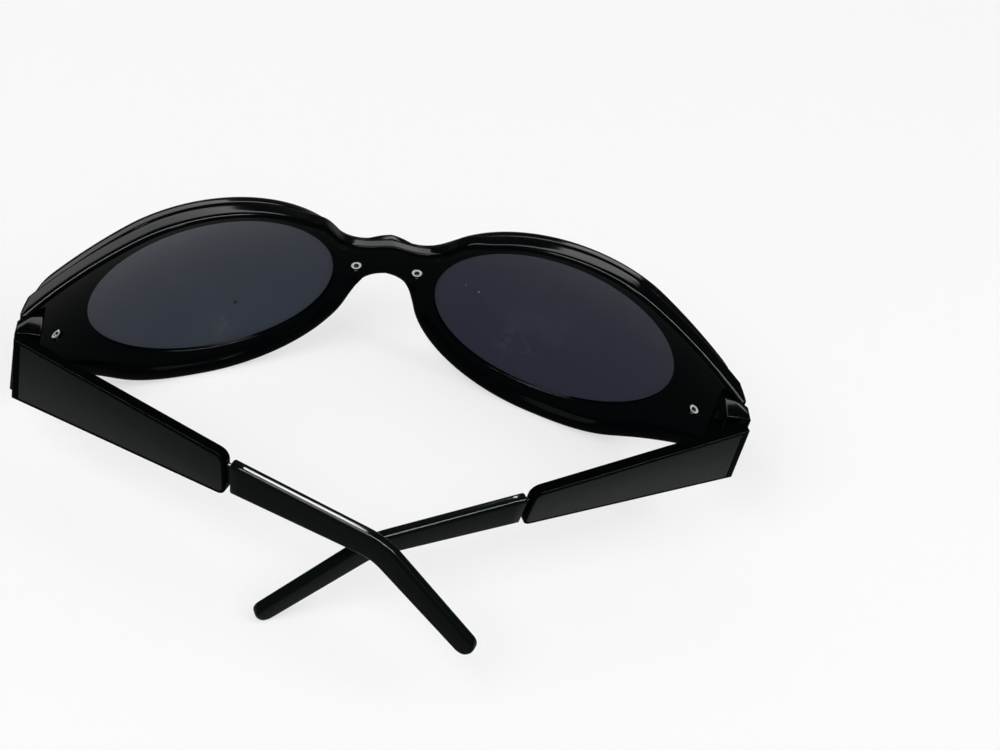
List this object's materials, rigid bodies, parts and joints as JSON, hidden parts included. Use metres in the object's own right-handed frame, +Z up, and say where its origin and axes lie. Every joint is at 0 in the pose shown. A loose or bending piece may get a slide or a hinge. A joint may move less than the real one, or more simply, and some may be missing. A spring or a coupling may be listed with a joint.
{
  "type": "goggle sunglasses",
  "caption": "Wrap-around goggle sunglasses with oval tinted lenses in a bolted double frame and folding temples.",
  "frame": {"origin": "centre of the bounding box at floor level, with the sunglasses resting as in the picture", "axes": "+X towards the wearer's left, +Y towards the back where the temples are, +Z up from the floor"},
  "size_m": [0.148, 0.095, 0.0459],
  "materials": {
    "shell_gloss": "polished black",
    "frame_gloss": "polished black",
    "lens_tint": "dark grey tint",
    "screw_steel": "bright plated",
    "insert_brass": "turned",
    "hinge_steel": "stamped",
    "arm_gloss": "polished black",
    "panel_matte": "matte dark grey green",
    "tip_gloss": "polished black"
  },
  "bodies": {
    "front": {"front_shell": "shell_gloss", "rear_frame": "frame_gloss", "lens_left": "lens_tint", "lens_right": "lens_tint", "bridge_screws": "screw_steel", "outer_screws": "screw_steel", "bridge_inserts": "insert_brass", "outer_inserts": "insert_brass", "front_hinge_left": "hinge_steel", "front_hinge_right": "hinge_steel", "hinge_screw_left": "screw_steel", "hinge_screw_right": "screw_steel"},
    "left_temple": {"temple_arm_left": "arm_gloss", "temple_panel_left": "panel_matte", "temple_hinge_left": "hinge_steel", "temple_rivets_left": "screw_steel", "core_wire_left": "hinge_steel", "temple_tip_left": "tip_gloss"},
    "right_temple": {"temple_arm_right": "arm_gloss", "temple_panel_right": "panel_matte", "temple_hinge_right": "hinge_steel", "temple_rivets_right": "screw_steel", "core_wire_right": "hinge_steel", "temple_tip_right": "tip_gloss"}
  },
  "joints": [
    {"name": "left_temple_fold", "type": "hinge", "parent": "front", "child": "left_temple", "pos_m": [0.0715, -0.00308, 0.02495], "axis": [0.075, -0.0393, 0.9964], "range_deg": [-62.6, 17.5]},
    {"name": "right_temple_fold", "type": "hinge", "parent": "front", "child": "right_temple", "pos_m": [-0.0715, -0.00308, 0.02495], "axis": [0.075, -0.0393, 0.9964], "range_deg": [-19.65, 70.15]}
  ],
  "couplings": [
    {"joint": "right_temple_fold", "follows": "left_temple_fold", "ratio": -1.1198}
  ]
}
